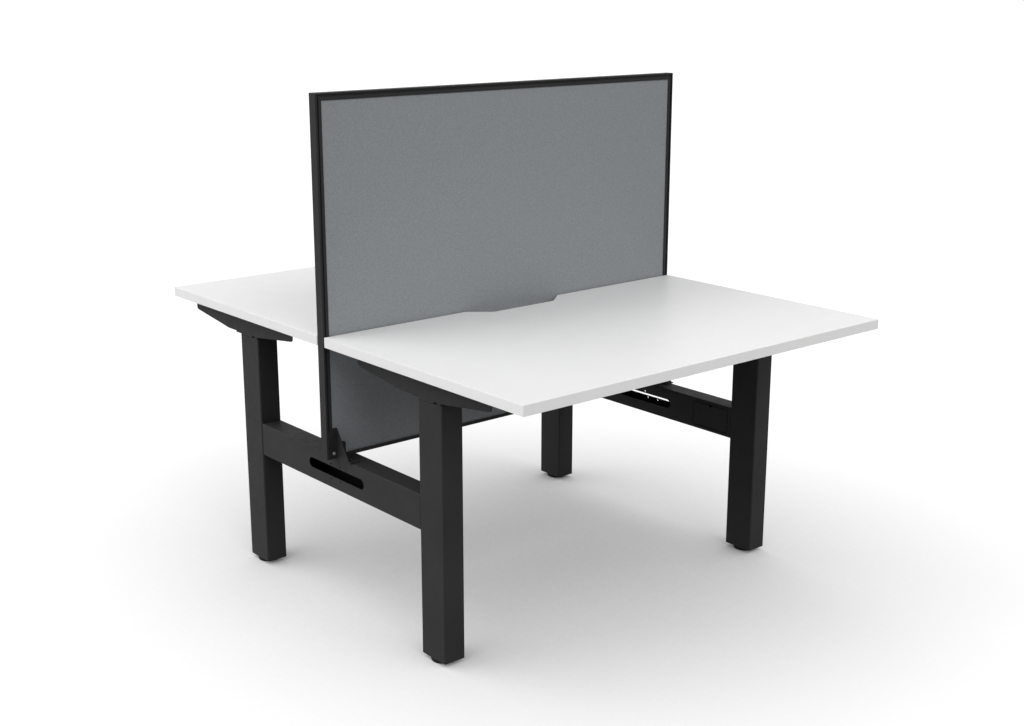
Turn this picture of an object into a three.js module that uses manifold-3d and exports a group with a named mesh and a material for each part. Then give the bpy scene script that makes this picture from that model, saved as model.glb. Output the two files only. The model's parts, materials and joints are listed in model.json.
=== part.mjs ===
// A back-to-back sit-stand bench for two people, with a fixed screen between the desks.
// Units are millimetres. +Z is up, +X runs along the width and -Y faces the front user.
// The origin is on the floor at the middle of the bench, and the desks are at their lowest setting.

import * as THREE from 'three';
import { mergeVertices } from 'three/addons/utils/BufferGeometryUtils.js';
import Module from 'manifold-3d';

const wasm = await Module();
wasm.setup();

// Clearances
const SEAT_GAP = 0.3;
const GLIDE_GAP = 0.3;
const TURNING_GAP = 0.6;
const SCREEN_GAP = 2;
const CUT_MARGIN = 1;
const WELD_DISTANCE = 1e-4;

// Desktops
const TOP_WIDTH = 1200;
const TOP_DEPTH = 750;
const TOP_THICKNESS = 25;
const TOP_CORNER_RADIUS = 3;
const SCALLOP_MOUTH = 326;
const SCALLOP_FLOOR = 208;
const SCALLOP_DEPTH = 48;
const SCALLOP_MOUTH_RADIUS = 12;
const SCALLOP_FLOOR_RADIUS = 24;

// Lifting columns
const LIFT_STROKE = 480;
const COLUMN_OVERLAP = 154;
const COLUMN_WIDTH = 60;
const COLUMN_DEPTH = 90;
const COLUMN_RADIUS = 4;
const COLUMN_WALL = 2;
const COLUMN_END_INSET = 60;
const COLUMN_SETBACK = 388;
const BASE_PLATE = 6;
const GLIDE_WALL = 2.4;
const GLIDE_LENGTH = 60;
const INNER_WALL = 2;
const INNER_RADIUS = 2;
const INNER_FLOOR_GAP = 8;
const TOP_PLATE = 3;
const TOP_PLATE_GAP = 1;
const TOP_PLATE_REACH = 69;
const TOP_PLATE_NOTCH_LENGTH = 14;
const TOP_PLATE_NOTCH_DEPTH = 6;
const TOP_PLATE_NOTCH_OFFSET = 22;

// Levelling feet
const FOOT_RADIUS = 30;
const FOOT_HEIGHT = 10;
const FOOT_CHAMFER = 1.5;
const STUD_RADIUS = 5;
const STUD_LENGTH = 25;
const STUD_TIP_GAP = 10;

// Spindles and their nuts
const SPINDLE_RADIUS = 8;
const SPINDLE_STOP_RADIUS = 11;
const SPINDLE_STOP_HEIGHT = 6;
const SPINDLE_SOCKET_DEPTH = 20;
const SPINDLE_HOLE_GAP = 2.4;
const NUT_LENGTH = 40;
const NUT_TUBE_WALL = 4;
const NUT_TUBE_GAP = 1.5;
const NUT_STOP_GAP = 4;

// Side arms under the desktops
const ARM_WIDTH = 60;
const ARM_DEPTH = 52;
const ARM_TIP_DEPTH = 29;
const ARM_TIP_RADIUS = 8;
const ARM_WALL = 3;
const ARM_SHORT_REACH = 220;
const ARM_SHORT_FLAT = 40;
const ARM_LONG_REACH = 287;
const ARM_LONG_FLAT = 108;
const ARM_PAD_LENGTH = 90;
const ARM_SCREW_RADIUS = 4;

// Gear motors
const GEARBOX_LENGTH = 84;
const GEARBOX_SIDE_GAP = 0.5;
const GEARBOX_TOP_GAP = 3;
const MOTOR_LENGTH = 110;
const MOTOR_STEP = 2;
const MOTOR_HOLE_GAP = 1.5;

// Rails that tie the two arms of a desk together
const RAIL_WIDTH = 40;
const RAIL_HEIGHT = 28;
const RAIL_WALL = 2;
const RAIL_SPACING = 150;

// Control box
const CONTROL_LENGTH = 260;
const CONTROL_HEIGHT = 30;
const CONTROL_RADIUS = 8;
const CONTROL_SIDE_GAP = 8;
const SOCKET_WIDTH = 13;
const SOCKET_HEIGHT = 10;
const SOCKET_DEPTH = 8;
const SOCKET_PITCH = 20;
const SOCKET_COUNT = 3;
const INLET_WIDTH = 26;
const INLET_HEIGHT = 18;
const INLET_DEPTH = 14;

// Handset
const HANDSET_WIDTH = 110;
const HANDSET_DEPTH = 46;
const HANDSET_HEIGHT = 20;
const HANDSET_RADIUS = 6;
const HANDSET_SETBACK = 62;
const HANDSET_END_INSET = 250;
const PADDLE_WIDTH = 44;
const PADDLE_REACH = 14;
const PADDLE_THICKNESS = 5;
const PADDLE_PIVOT_RADIUS = 4.5;
const PADDLE_PIVOT_DEPTH = 7;
const PADDLE_TILT = THREE.MathUtils.degToRad(8);
const PADDLE_PIN_RADIUS = 1.5;
const PADDLE_PIN_LENGTH = 3;

// Beams between the columns of each end
const BEAM_RISE = 311.5;
const BEAM_WIDTH = 57;
const BEAM_HEIGHT = 89;
const BEAM_RADIUS = 3;
const BEAM_WALL = 2.5;
const BEAM_SEAM_WIDTH = 1.5;
const BEAM_SEAM_DEPTH = 1;
const BEAM_SEAM_DROP = 4;
const SLOT_LENGTH = 248;
const SLOT_HEIGHT = 27;
const SLOT_HOLE_RADIUS = 2.5;
const SLOT_HOLE_MARGIN = 6;
const SLOT_HOLE_SPACING = 40;
const COVER_LENGTH = 128;
const COVER_HEIGHT = 66;
const COVER_RADIUS = 6;
const COVER_COLUMN_GAP = 14;
const COVER_GAP = 2;
const COVER_NOTCH_RADIUS = 6;
const COVER_TAB_HEIGHT = 30;
const COVER_TAB_LENGTH = 10;
const COVER_TAB_OVERLAP = 5;
const COVER_TAB_THICKNESS = 1.5;

// Screen
const SCREEN_HEIGHT = 901;
const SCREEN_THICKNESS = 26;
const FRAME_RIM = 4;
const FRAME_GROOVE_WIDTH = 5.5;
const FRAME_GROOVE_DEPTH = 4;
const FRAME_LIP_WIDTH = 8;
const FRAME_FOOT_FACE = 9;
const FRAME_WEB = 1.5;
const FRAME_SKIN = 1.5;
const FABRIC_THICKNESS = 2;

// Screen brackets, folded from sheet
const BRACKET_SHEET = 2.5;
const BRACKET_OVERHANG = 5;
const BRACKET_STRIP_WIDTH = 27.5;
const BRACKET_STRIP_REACH = 76;
const BRACKET_PLATE_HEIGHT = 77;
const BRACKET_PLATE_INSET = 2;
const BRACKET_GUSSET_HEAD = 3;
const BRACKET_GUSSET_REACH = 57;
const BRACKET_TAB_HEIGHT = 38;
const BRACKET_TAB_RADIUS = 6;
const BRACKET_SCREW_RADIUS = 3;
const BRACKET_SCREW_INSET = 23;
const BRACKET_PLATE_RADIUS = 5;
const BRACKET_HOLE_RADIUS = 2.5;
const BRACKET_HOLE_INSET = 4;
const BRACKET_HOLE_DROPS = [5, 51];

// Facets
const CORNER_SEGMENTS = 2;
const ROUND_SEGMENTS = 16;
const HOLE_SEGMENTS = 12;

// Levels above the floor
const columnBase = FOOT_HEIGHT;
const columnTop = columnBase + LIFT_STROKE + COLUMN_OVERLAP;
const topPlateBottom = columnTop + TOP_PLATE_GAP;
const armBottom = topPlateBottom + TOP_PLATE + SEAT_GAP;
const armTop = armBottom + ARM_DEPTH;
const deskUnderside = armTop + SEAT_GAP;
const basePlateTop = columnBase + BASE_PLATE;
const beamBottom = columnBase + BEAM_RISE;
const beamTop = beamBottom + BEAM_HEIGHT;
const beamMiddle = beamBottom + BEAM_HEIGHT / 2;
const bracketBottom = beamTop + SEAT_GAP;
const screenBottom = beamTop + SEAT_GAP;
const gearboxBottom = armBottom + ARM_WALL + SEAT_GAP;
const gearboxTop = armTop - GEARBOX_TOP_GAP;
const spindleBottom = columnBase + STUD_LENGTH + STUD_TIP_GAP;
const spindleTop = gearboxBottom + SPINDLE_SOCKET_DEPTH - SEAT_GAP;
const nutBottom = spindleBottom + SPINDLE_STOP_HEIGHT + LIFT_STROKE + NUT_STOP_GAP;

// Places in plan
const screenFace = SCREEN_THICKNESS / 2;
const deskBack = screenFace + SCREEN_GAP;
const deskFront = deskBack + TOP_DEPTH;
const columnX = TOP_WIDTH / 2 - COLUMN_END_INSET;
const columnY = deskBack + COLUMN_SETBACK;
const beamHalfLength = columnY - COLUMN_DEPTH / 2 - SEAT_GAP;
const coverMiddle = columnY - COLUMN_DEPTH / 2 - COVER_COLUMN_GAP - COVER_LENGTH / 2;

// Sections that follow from their neighbours
const boreWidth = COLUMN_WIDTH - 2 * COLUMN_WALL;
const boreDepth = COLUMN_DEPTH - 2 * COLUMN_WALL;
const boreRadius = Math.max(COLUMN_RADIUS - COLUMN_WALL, SEAT_GAP);
const innerWidth = boreWidth - 2 * (GLIDE_WALL + 2 * GLIDE_GAP);
const innerDepth = boreDepth - 2 * (GLIDE_WALL + 2 * GLIDE_GAP);
const spindleHoleRadius = SPINDLE_RADIUS + SPINDLE_HOLE_GAP;
const motorRadius = (gearboxTop - gearboxBottom) / 2 - MOTOR_STEP;
const motorAxis = (gearboxTop + gearboxBottom) / 2;
const frameFace = FRAME_RIM + FRAME_GROOVE_WIDTH + FRAME_LIP_WIDTH;
const panelInset = FRAME_RIM + FRAME_GROOVE_WIDTH + FRAME_WEB + SEAT_GAP;
const footNotch = BRACKET_SHEET + SEAT_GAP;
const footFloor = footNotch + FRAME_WEB;
const fabricFace = screenFace - FRAME_SKIN - SEAT_GAP;
const coreThickness = 2 * (fabricFace - FABRIC_THICKNESS - SEAT_GAP);

// Materials
function finish(color, roughness, metalness) {
  return new THREE.MeshStandardMaterial({ color, roughness, metalness, flatShading: true });
}

const materials = {
  laminate: finish('#f2f2f1', 0.45, 0),
  powderCoat: finish('#2a2a2b', 0.55, 0.3),
  frameCoat: finish('#272728', 0.5, 0.3),
  fabric: finish('#7f8386', 0.95, 0),
  board: finish('#b79a73', 0.85, 0),
  bracketCoat: finish('#2a2a2b', 0.55, 0.3),
  coverPlastic: finish('#262627', 0.6, 0),
  rubber: finish('#161616', 0.8, 0),
  nylon: finish('#1a1a1b', 0.5, 0),
  steel: finish('#a9adb0', 0.35, 1),
  motorCoat: finish('#3a3b3d', 0.5, 0.5),
  casing: finish('#1f1f20', 0.6, 0),
  paddle: finish('#3c3c3e', 0.5, 0),
};

// Solids
function solid(geometry) {
  const bare = geometry.clone();
  bare.deleteAttribute('normal');
  bare.deleteAttribute('uv');
  const welded = mergeVertices(bare, WELD_DISTANCE);
  const vertProperties = new Float32Array(welded.attributes.position.array);
  const triVerts = new Uint32Array(welded.index.array);
  return new wasm.Manifold(new wasm.Mesh({ numProp: 3, vertProperties, triVerts }));
}

function geometryOf(manifold) {
  const mesh = manifold.getMesh();
  const geometry = new THREE.BufferGeometry();
  geometry.setAttribute('position', new THREE.BufferAttribute(mesh.vertProperties, 3));
  geometry.setIndex(new THREE.BufferAttribute(mesh.triVerts, 1));
  return geometry;
}

function join(first, ...others) {
  const total = others.reduce((sum, other) => sum.add(solid(other)), solid(first));
  return geometryOf(total);
}

function cut(body, ...tools) {
  const rest = tools.reduce((left, tool) => left.subtract(solid(tool)), solid(body));
  return geometryOf(rest);
}

// A block between two corners
function block(low, high) {
  const size = high.map((value, axis) => value - low[axis]);
  const centre = high.map((value, axis) => (value + low[axis]) / 2);
  return new THREE.BoxGeometry(...size).translate(...centre);
}

// Outlines: each corner is [x, y] or [x, y, radius]
function outline(corners) {
  const shape = new THREE.Shape();
  corners.forEach(([x, y, radius = 0], index) => {
    const corner = new THREE.Vector2(x, y);
    const [lastX, lastY] = corners[(index + corners.length - 1) % corners.length];
    const [nextX, nextY] = corners[(index + 1) % corners.length];
    const back = new THREE.Vector2(lastX, lastY).sub(corner).normalize();
    const ahead = new THREE.Vector2(nextX, nextY).sub(corner).normalize();
    const halfAngle = back.angleTo(ahead) / 2;
    const trim = radius / Math.tan(halfAngle);
    const start = corner.clone().addScaledVector(back, trim);
    const end = corner.clone().addScaledVector(ahead, trim);
    if (index === 0) shape.moveTo(start.x, start.y);
    else shape.lineTo(start.x, start.y);
    if (radius > 0) roundCorner(shape, corner, back, ahead, radius);
    else if (index > 0) shape.lineTo(end.x, end.y);
  });
  shape.closePath();
  return shape;
}

function roundCorner(shape, corner, back, ahead, radius) {
  const halfAngle = back.angleTo(ahead) / 2;
  const bisector = back.clone().add(ahead).normalize();
  const centre = corner.clone().addScaledVector(bisector, radius / Math.sin(halfAngle));
  const trim = radius / Math.tan(halfAngle);
  const start = corner.clone().addScaledVector(back, trim).sub(centre);
  const end = corner.clone().addScaledVector(ahead, trim).sub(centre);
  const clockwise = back.cross(ahead) > 0;
  shape.absarc(centre.x, centre.y, radius, start.angle(), end.angle(), clockwise);
}

function rectangle(width, height, radius) {
  const [x, y] = [width / 2, height / 2];
  return outline([[-x, -y, radius], [x, -y, radius], [x, y, radius], [-x, y, radius]]);
}

// Extrusions along Z, along X with the outline in YZ, and along Y with the outline in XZ
function alongZ(shape, low, high) {
  const options = { depth: high - low, bevelEnabled: false, curveSegments: CORNER_SEGMENTS };
  return new THREE.ExtrudeGeometry(shape, options).translate(0, 0, low);
}

function alongX(shape, low, high) {
  const turn = new THREE.Matrix4().set(0, 0, 1, 0, 1, 0, 0, 0, 0, 1, 0, 0, 0, 0, 0, 1);
  return alongZ(shape, low, high).applyMatrix4(turn);
}

function alongY(shape, low, high) {
  return alongZ(shape, -high, -low).rotateX(Math.PI / 2);
}

function tube(width, depth, radius, wall, low, high) {
  const innerRadius = Math.max(radius - wall, SEAT_GAP);
  const bore = alongZ(
    rectangle(width - 2 * wall, depth - 2 * wall, innerRadius), low - CUT_MARGIN, high + CUT_MARGIN);
  return cut(alongZ(rectangle(width, depth, radius), low, high), bore);
}

// Round cutters along each axis
function rodZ(radius, x, y, low, high, segments = HOLE_SEGMENTS) {
  const rod = new THREE.CylinderGeometry(radius, radius, high - low, segments);
  return rod.rotateX(Math.PI / 2).translate(x, y, (low + high) / 2);
}

function rodY(radius, x, z, low, high, segments = HOLE_SEGMENTS) {
  const rod = new THREE.CylinderGeometry(radius, radius, high - low, segments);
  return rod.translate(x, (low + high) / 2, z);
}

function rodX(radius, y, z, low, high, segments = HOLE_SEGMENTS) {
  const rod = new THREE.CylinderGeometry(radius, radius, high - low, segments);
  return rod.rotateZ(Math.PI / 2).translate((low + high) / 2, y, z);
}

// A turned piece about Z from [radius, height] points
function turned(profile) {
  const points = profile.map(([radius, height]) => new THREE.Vector2(radius, height));
  return new THREE.LatheGeometry(points, ROUND_SEGMENTS).rotateX(Math.PI / 2);
}

function addPiece(parent, name, geometry, material) {
  const mesh = new THREE.Mesh(geometry, material);
  mesh.name = name;
  parent.add(mesh);
  return mesh;
}

// Column pieces stand on their column's axis
function outerColumn() {
  const body = alongZ(rectangle(COLUMN_WIDTH, COLUMN_DEPTH, COLUMN_RADIUS), columnBase, columnTop);
  const bore = alongZ(rectangle(boreWidth, boreDepth, boreRadius), basePlateTop, columnTop + CUT_MARGIN);
  const studHole = rodZ(STUD_RADIUS + TURNING_GAP, 0, 0, columnBase - CUT_MARGIN, basePlateTop + CUT_MARGIN);
  return cut(body, bore, studHole);
}

function glideBush() {
  const low = columnTop - GLIDE_LENGTH;
  const width = boreWidth - 2 * GLIDE_GAP;
  const depth = boreDepth - 2 * GLIDE_GAP;
  const body = alongZ(rectangle(width, depth, boreRadius), low, columnTop);
  const opening = rectangle(width - 2 * GLIDE_WALL, depth - 2 * GLIDE_WALL, INNER_RADIUS);
  return cut(body, alongZ(opening, low - CUT_MARGIN, columnTop + CUT_MARGIN));
}

function innerColumn() {
  const tubeBottom = basePlateTop + INNER_FLOOR_GAP;
  const plateTop = topPlateBottom + TOP_PLATE;
  const wallTube = tube(
    innerWidth, innerDepth, INNER_RADIUS, INNER_WALL, tubeBottom, topPlateBottom + TOP_PLATE / 2);
  const half = COLUMN_WIDTH / 2;
  const plate = block([-half, -innerDepth / 2, topPlateBottom], [half, TOP_PLATE_REACH, plateTop]);
  const notchShape = rectangle(2 * TOP_PLATE_NOTCH_DEPTH, TOP_PLATE_NOTCH_LENGTH, 0);
  const notches = [-half, half].map(
    (edge) => alongZ(notchShape, topPlateBottom - CUT_MARGIN, plateTop + CUT_MARGIN)
      .translate(edge, -TOP_PLATE_NOTCH_OFFSET, 0));
  const spindleHole = rodZ(spindleHoleRadius, 0, 0, topPlateBottom - CUT_MARGIN, plateTop + CUT_MARGIN);
  return cut(join(wallTube, plate), spindleHole, ...notches);
}

function nutTube() {
  const bore = SPINDLE_STOP_RADIUS + NUT_TUBE_GAP;
  const outside = bore + NUT_TUBE_WALL;
  const nutBore = SPINDLE_RADIUS + TURNING_GAP;
  const bottom = basePlateTop + SEAT_GAP;
  const top = nutBottom + NUT_LENGTH;
  return turned([
    [bore, bottom], [outside, bottom], [outside, top], [nutBore, top],
    [nutBore, nutBottom], [bore, nutBottom], [bore, bottom],
  ]);
}

function spindle() {
  const stopTop = spindleBottom + SPINDLE_STOP_HEIGHT;
  return turned([
    [0, spindleBottom], [SPINDLE_STOP_RADIUS, spindleBottom], [SPINDLE_STOP_RADIUS, stopTop],
    [SPINDLE_RADIUS, stopTop], [SPINDLE_RADIUS, spindleTop], [0, spindleTop],
  ]);
}

function levellingFoot() {
  const padTop = FOOT_HEIGHT - SEAT_GAP;
  const studTop = columnBase + STUD_LENGTH;
  return turned([
    [0, 0], [FOOT_RADIUS - FOOT_CHAMFER, 0], [FOOT_RADIUS, FOOT_CHAMFER],
    [FOOT_RADIUS, padTop - FOOT_CHAMFER], [FOOT_RADIUS - FOOT_CHAMFER, padTop],
    [STUD_RADIUS, padTop], [STUD_RADIUS, studTop], [0, studTop],
  ]);
}

// The arm is a tapered steel channel, closed below over the column and open at its tips,
// with a window over the gearbox
function armOutline() {
  const tipBottom = armTop - ARM_TIP_DEPTH;
  return outline([
    [-ARM_SHORT_REACH, armTop],
    [-ARM_SHORT_REACH, tipBottom, ARM_TIP_RADIUS],
    [-ARM_SHORT_FLAT, armBottom],
    [ARM_LONG_FLAT, armBottom],
    [ARM_LONG_REACH, tipBottom, ARM_TIP_RADIUS],
    [ARM_LONG_REACH, armTop],
  ]);
}

function armHollow() {
  const roof = armTop - ARM_WALL;
  const floor = armBottom + ARM_WALL;
  const below = armBottom - CUT_MARGIN;
  return outline([
    [-ARM_SHORT_REACH - CUT_MARGIN, roof],
    [-ARM_SHORT_REACH - CUT_MARGIN, below],
    [-ARM_SHORT_FLAT, below],
    [-ARM_SHORT_FLAT, floor],
    [ARM_LONG_FLAT, floor],
    [ARM_LONG_FLAT, below],
    [ARM_LONG_REACH + CUT_MARGIN, below],
    [ARM_LONG_REACH + CUT_MARGIN, roof],
  ]);
}

function sideArm() {
  const half = ARM_WIDTH / 2;
  const body = alongX(armOutline(), -half, half);
  const hollow = alongX(armHollow(), ARM_WALL - half, half - ARM_WALL);
  const window = block(
    [ARM_WALL - half, ARM_PAD_LENGTH - ARM_SHORT_REACH, armTop - ARM_WALL - CUT_MARGIN],
    [half - ARM_WALL, ARM_LONG_REACH - ARM_PAD_LENGTH, armTop + CUT_MARGIN]);
  const spindleHole = rodZ(spindleHoleRadius, 0, 0, armBottom - CUT_MARGIN, gearboxBottom + CUT_MARGIN);
  const motorHole = rodX(
    motorRadius + MOTOR_HOLE_GAP, 0, motorAxis,
    half - ARM_WALL - CUT_MARGIN, half + CUT_MARGIN, ROUND_SEGMENTS);
  const screwPlaces = [ARM_PAD_LENGTH / 2 - ARM_SHORT_REACH, ARM_LONG_REACH - ARM_PAD_LENGTH / 2];
  const screwHoles = screwPlaces.map(
    (y) => rodZ(ARM_SCREW_RADIUS, 0, y, armBottom - CUT_MARGIN, armTop + CUT_MARGIN));
  return cut(body, hollow, window, spindleHole, motorHole, ...screwHoles);
}

function gearMotor() {
  const half = ARM_WIDTH / 2 - ARM_WALL - GEARBOX_SIDE_GAP;
  const gearbox = block([-half, -GEARBOX_LENGTH / 2, gearboxBottom], [half, GEARBOX_LENGTH / 2, gearboxTop]);
  const motorEnd = ARM_WIDTH / 2 + MOTOR_LENGTH;
  const barrel = rodX(motorRadius, 0, motorAxis, 0, motorEnd, ROUND_SEGMENTS);
  const cap = rodX(motorRadius - MOTOR_STEP, 0, motorAxis, 0, motorEnd + 2 * MOTOR_STEP, ROUND_SEGMENTS);
  const socket = rodZ(
    SPINDLE_RADIUS + TURNING_GAP, 0, 0, gearboxBottom - CUT_MARGIN, gearboxBottom + SPINDLE_SOCKET_DEPTH);
  return cut(join(gearbox, barrel, cap), socket);
}

// Desk pieces, drawn for the front desk
function desktop() {
  const half = TOP_WIDTH / 2;
  const mouth = SCALLOP_MOUTH / 2;
  const floor = SCALLOP_FLOOR / 2;
  const floorY = -deskBack - SCALLOP_DEPTH;
  const shape = outline([
    [-half, -deskFront, TOP_CORNER_RADIUS],
    [half, -deskFront, TOP_CORNER_RADIUS],
    [half, -deskBack, TOP_CORNER_RADIUS],
    [mouth, -deskBack, SCALLOP_MOUTH_RADIUS],
    [floor, floorY, SCALLOP_FLOOR_RADIUS],
    [-floor, floorY, SCALLOP_FLOOR_RADIUS],
    [-mouth, -deskBack, SCALLOP_MOUTH_RADIUS],
    [-half, -deskBack, TOP_CORNER_RADIUS],
  ]);
  return alongZ(shape, deskUnderside, deskUnderside + TOP_THICKNESS);
}

function crossRail() {
  const half = columnX - ARM_WIDTH / 2 - SEAT_GAP;
  const top = deskUnderside - SEAT_GAP;
  const bar = block([-half, -RAIL_WIDTH / 2, top - RAIL_HEIGHT], [half, RAIL_WIDTH / 2, top]);
  const bore = block(
    [-half - CUT_MARGIN, RAIL_WALL - RAIL_WIDTH / 2, top - RAIL_HEIGHT + RAIL_WALL],
    [half + CUT_MARGIN, RAIL_WIDTH / 2 - RAIL_WALL, top - RAIL_WALL]);
  return cut(bar, bore);
}

function controlBox() {
  const width = RAIL_SPACING - RAIL_WIDTH - 2 * CONTROL_SIDE_GAP;
  const top = deskUnderside - SEAT_GAP;
  const middle = top - CONTROL_HEIGHT / 2;
  const end = CONTROL_LENGTH / 2;
  const body = alongZ(rectangle(CONTROL_LENGTH, width, CONTROL_RADIUS), top - CONTROL_HEIGHT, top);
  const sockets = Array.from({ length: SOCKET_COUNT }, (_, index) => {
    const y = (index - (SOCKET_COUNT - 1) / 2) * SOCKET_PITCH;
    return block(
      [end - SOCKET_DEPTH, y - SOCKET_WIDTH / 2, middle - SOCKET_HEIGHT / 2],
      [end + CUT_MARGIN, y + SOCKET_WIDTH / 2, middle + SOCKET_HEIGHT / 2]);
  });
  const inlet = block(
    [-end - CUT_MARGIN, -INLET_WIDTH / 2, middle - INLET_HEIGHT / 2],
    [INLET_DEPTH - end, INLET_WIDTH / 2, middle + INLET_HEIGHT / 2]);
  return cut(body, inlet, ...sockets);
}

// The handset's own frame has X across, -Y to the user and its pivot at the origin
const handsetTop = HANDSET_HEIGHT / 2;
const handsetFront = -PADDLE_PIVOT_DEPTH;

function handset() {
  const shape = rectangle(HANDSET_WIDTH, HANDSET_DEPTH, HANDSET_RADIUS);
  const body = alongZ(shape, -handsetTop, handsetTop).translate(0, handsetFront + HANDSET_DEPTH / 2, 0);
  const tilted = PADDLE_THICKNESS / 2 + PADDLE_PIVOT_DEPTH * Math.tan(PADDLE_TILT);
  const pocketHalf = Math.max(PADDLE_PIVOT_RADIUS, tilted) + TURNING_GAP;
  const pocketSide = PADDLE_WIDTH / 2 + SEAT_GAP;
  const pocket = block(
    [-pocketSide, handsetFront - CUT_MARGIN, -pocketHalf],
    [pocketSide, PADDLE_PIVOT_RADIUS + TURNING_GAP, pocketHalf]);
  const pinEnd = pocketSide + PADDLE_PIN_LENGTH;
  const pinBore = rodX(PADDLE_PIN_RADIUS + TURNING_GAP, 0, 0, -pinEnd, pinEnd);
  return cut(body, pocket, pinBore);
}

function handsetPaddle() {
  const half = PADDLE_WIDTH / 2;
  const barrel = rodX(PADDLE_PIVOT_RADIUS, 0, 0, -half, half, ROUND_SEGMENTS);
  const lever = block(
    [-half, -PADDLE_PIVOT_DEPTH - PADDLE_REACH, -PADDLE_THICKNESS / 2], [half, 0, PADDLE_THICKNESS / 2]);
  const pinEnd = half + PADDLE_PIN_LENGTH;
  const pin = rodX(PADDLE_PIN_RADIUS, 0, 0, -pinEnd, pinEnd);
  return join(barrel, lever, pin);
}

// End frame pieces, drawn for the left end about the middle of its beam, with -X to the outside
function beam() {
  const shape = rectangle(BEAM_WIDTH, BEAM_HEIGHT, BEAM_RADIUS);
  const bore = rectangle(BEAM_WIDTH - 2 * BEAM_WALL, BEAM_HEIGHT - 2 * BEAM_WALL, SEAT_GAP);
  const bar = alongY(shape, -beamHalfLength, beamHalfLength).translate(0, 0, beamMiddle);
  const hollow = alongY(bore, -beamHalfLength - CUT_MARGIN, beamHalfLength + CUT_MARGIN)
    .translate(0, 0, beamMiddle);
  const side = BEAM_WIDTH / 2 + CUT_MARGIN;
  const slot = alongX(rectangle(SLOT_LENGTH, SLOT_HEIGHT, SLOT_HEIGHT / 2 - SEAT_GAP), -side, side)
    .translate(0, 0, beamMiddle);
  const holeRise = SLOT_HEIGHT / 2 + SLOT_HOLE_MARGIN;
  const holes = [-1, 1].flatMap((across) => [-1, 1].map((up) => rodX(
    SLOT_HOLE_RADIUS, across * SLOT_HOLE_SPACING / 2, beamMiddle + up * holeRise, -side, side)));
  const seamHigh = beamTop - BEAM_SEAM_DROP;
  const seam = block(
    [BEAM_WIDTH / 2 - BEAM_SEAM_DEPTH, -beamHalfLength - CUT_MARGIN, seamHigh - BEAM_SEAM_WIDTH],
    [side, beamHalfLength + CUT_MARGIN, seamHigh]);
  const windowShape = rectangle(
    COVER_LENGTH + 2 * COVER_GAP, COVER_HEIGHT + 2 * COVER_GAP, COVER_RADIUS + COVER_GAP);
  const windows = [-1, 1].map((end) => alongX(windowShape, 0, side)
    .translate(0, end * coverMiddle, beamMiddle));
  return cut(bar, hollow, slot, seam, ...holes, ...windows);
}

// The cover snaps into the beam's inner face: two tabs hold it behind the wall
function accessCover() {
  const face = BEAM_WIDTH / 2;
  const back = face - BEAM_WALL;
  const tabBack = back - SEAT_GAP - COVER_TAB_THICKNESS;
  const half = COVER_LENGTH / 2;
  const plate = alongX(rectangle(COVER_LENGTH, COVER_HEIGHT, COVER_RADIUS), back, face);
  const notch = rodX(COVER_NOTCH_RADIUS, 0, COVER_HEIGHT / 2, back - CUT_MARGIN, face + CUT_MARGIN);
  const tabs = [-1, 1].flatMap((end) => {
    const inner = end * (half - COVER_TAB_LENGTH + COVER_TAB_OVERLAP);
    const tip = end * (half + COVER_TAB_OVERLAP);
    const root = block(
      [tabBack, Math.min(inner, end * half), -COVER_TAB_HEIGHT / 2],
      [back + BEAM_WALL / 2, Math.max(inner, end * half), COVER_TAB_HEIGHT / 2]);
    const tab = block(
      [tabBack, Math.min(inner, tip), -COVER_TAB_HEIGHT / 2],
      [tabBack + COVER_TAB_THICKNESS, Math.max(inner, tip), COVER_TAB_HEIGHT / 2]);
    return [root, tab];
  });
  return join(cut(plate, notch), ...tabs);
}

// The screen bracket is a saddle: a strip on the beam, and on each side of the screen
// an outer plate past the beam, a gusset on edge and a short inner tab.
function screenBracket() {
  const outside = -BEAM_WIDTH / 2 - BRACKET_OVERHANG;
  const fold = outside + BRACKET_SHEET;
  const inside = outside + BRACKET_STRIP_WIDTH;
  const plateEnd = -COLUMN_END_INSET + BRACKET_PLATE_INSET;
  const stripTop = bracketBottom + BRACKET_SHEET;
  const plateTop = stripTop + BRACKET_PLATE_HEIGHT;
  const near = screenFace + SEAT_GAP;
  const far = near + BRACKET_SHEET;
  const strip = block(
    [outside, -BRACKET_STRIP_REACH, bracketBottom], [inside, BRACKET_STRIP_REACH, stripTop]);
  const screwHoles = [-1, 1].map((side) => rodZ(
    BRACKET_SCREW_RADIUS, (fold + inside) / 2, side * (BRACKET_STRIP_REACH - BRACKET_SCREW_INSET),
    bracketBottom - CUT_MARGIN, stripTop + CUT_MARGIN));
  const uprights = [-1, 1].flatMap((side) => {
    const [low, high] = side < 0 ? [-far, -near] : [near, far];
    const plateShape = outline([
      [plateEnd, bracketBottom], [fold, bracketBottom],
      [fold, plateTop], [plateEnd, plateTop, BRACKET_PLATE_RADIUS]]);
    const tabShape = outline([
      [outside, bracketBottom], [inside, bracketBottom],
      [inside, stripTop + BRACKET_TAB_HEIGHT, BRACKET_TAB_RADIUS], [outside, stripTop + BRACKET_TAB_HEIGHT]]);
    const gussetCorners = [
      [side * near, bracketBottom], [side * (near + BRACKET_GUSSET_REACH), bracketBottom],
      [side * (near + BRACKET_GUSSET_HEAD), plateTop], [side * near, plateTop]];
    const gussetShape = outline(side < 0 ? gussetCorners.reverse() : gussetCorners);
    return [alongY(plateShape, low, high), alongY(tabShape, low, high), alongX(gussetShape, outside, fold)];
  });
  const plateHoles = BRACKET_HOLE_DROPS.map((drop) => rodY(
    BRACKET_HOLE_RADIUS, plateEnd + BRACKET_HOLE_INSET, plateTop - drop,
    -far - CUT_MARGIN, far + CUT_MARGIN));
  return cut(join(strip, ...uprights), ...screwHoles, ...plateHoles);
}

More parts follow.
